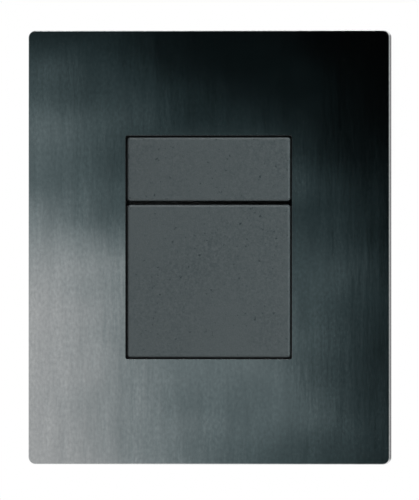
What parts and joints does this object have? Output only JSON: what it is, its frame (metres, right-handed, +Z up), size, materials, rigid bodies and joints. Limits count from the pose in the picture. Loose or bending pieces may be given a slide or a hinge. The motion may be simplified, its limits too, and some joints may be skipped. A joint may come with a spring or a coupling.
{
  "type": "dual flush button plate",
  "caption": "Upright brushed metal flush plate with a small key above a large key in one window, hinged rockers, sprung push rods and a wall tray behind.",
  "frame": {"origin": "middle of the face plate, on the wall plane that the tray's flange and the plate's rim lie on", "axes": "+Z up along the plate's long side, +Y into the wall, so the front faces -Y, +X to the right as seen from the front"},
  "size_m": [0.104, 0.067, 0.124],
  "materials": {
    "brushed_face": "vertical brushed grain, satin",
    "key_coat": "matte anthracite, fine speckle",
    "black_plastic": "moulded, fine grain",
    "tray_plastic": "moulded, fine grain",
    "guide_plastic": "moulded, smooth",
    "slider_plastic": "moulded, smooth",
    "plated_steel": "zinc plated",
    "pin_steel": "ground",
    "spring_steel": "drawn wire and strip, oiled",
    "stop_rubber": "matte"
  },
  "bodies": {
    "wall_frame": {"front_plate": "brushed_face", "plate_studs": "plated_steel", "stud_nuts": "plated_steel", "hinge_frame": "black_plastic", "retaining_clips": "spring_steel", "stop_pads": "stop_rubber", "small_hinge_pin": "pin_steel", "large_hinge_pin": "pin_steel", "mounting_frame": "tray_plastic", "wall_screws": "plated_steel", "small_rod_bush": "guide_plastic", "large_rod_bush": "guide_plastic", "small_bush_nut": "guide_plastic", "large_bush_nut": "guide_plastic", "small_rod_spring": "spring_steel", "large_rod_spring": "spring_steel"},
    "small_key": {"small_key_cap": "key_coat", "small_rocker": "black_plastic"},
    "large_key": {"large_key_cap": "key_coat", "large_rocker": "black_plastic"},
    "small_push_rod": {"small_tappet": "slider_plastic", "small_rod": "plated_steel", "small_lock_nut": "plated_steel", "small_rod_tip": "slider_plastic"},
    "large_push_rod": {"large_tappet": "slider_plastic", "large_rod": "plated_steel", "large_lock_nut": "plated_steel", "large_rod_tip": "slider_plastic"}
  },
  "joints": [
    {"name": "small_key_press", "type": "hinge", "parent": "wall_frame", "child": "small_key", "pos_m": [0, 0, 0.0452], "axis": [1, 0, 0], "range_deg": [0, 10], "stiffness_Nm_per_rad": 0.25, "springref_deg": -8.59},
    {"name": "large_key_press", "type": "hinge", "parent": "wall_frame", "child": "large_key", "pos_m": [0, 0, -0.0452], "axis": [-1, 0, 0], "range_deg": [0, 6.4], "stiffness_Nm_per_rad": 0.6, "springref_deg": -5.73},
    {"name": "small_rod_slide", "type": "slide", "parent": "wall_frame", "child": "small_push_rod", "axis": [0, 1, 0], "range_m": [0, 0.0041], "deforming": ["small_rod_spring"]},
    {"name": "large_rod_slide", "type": "slide", "parent": "wall_frame", "child": "large_push_rod", "axis": [0, 1, 0], "range_m": [0, 0.0041], "deforming": ["large_rod_spring"]}
  ],
  "couplings": [
    {"joint": "small_rod_slide", "follows": "small_key_press", "m_per_rad": 0.02285},
    {"joint": "large_rod_slide", "follows": "large_key_press", "m_per_rad": 0.03555}
  ]
}
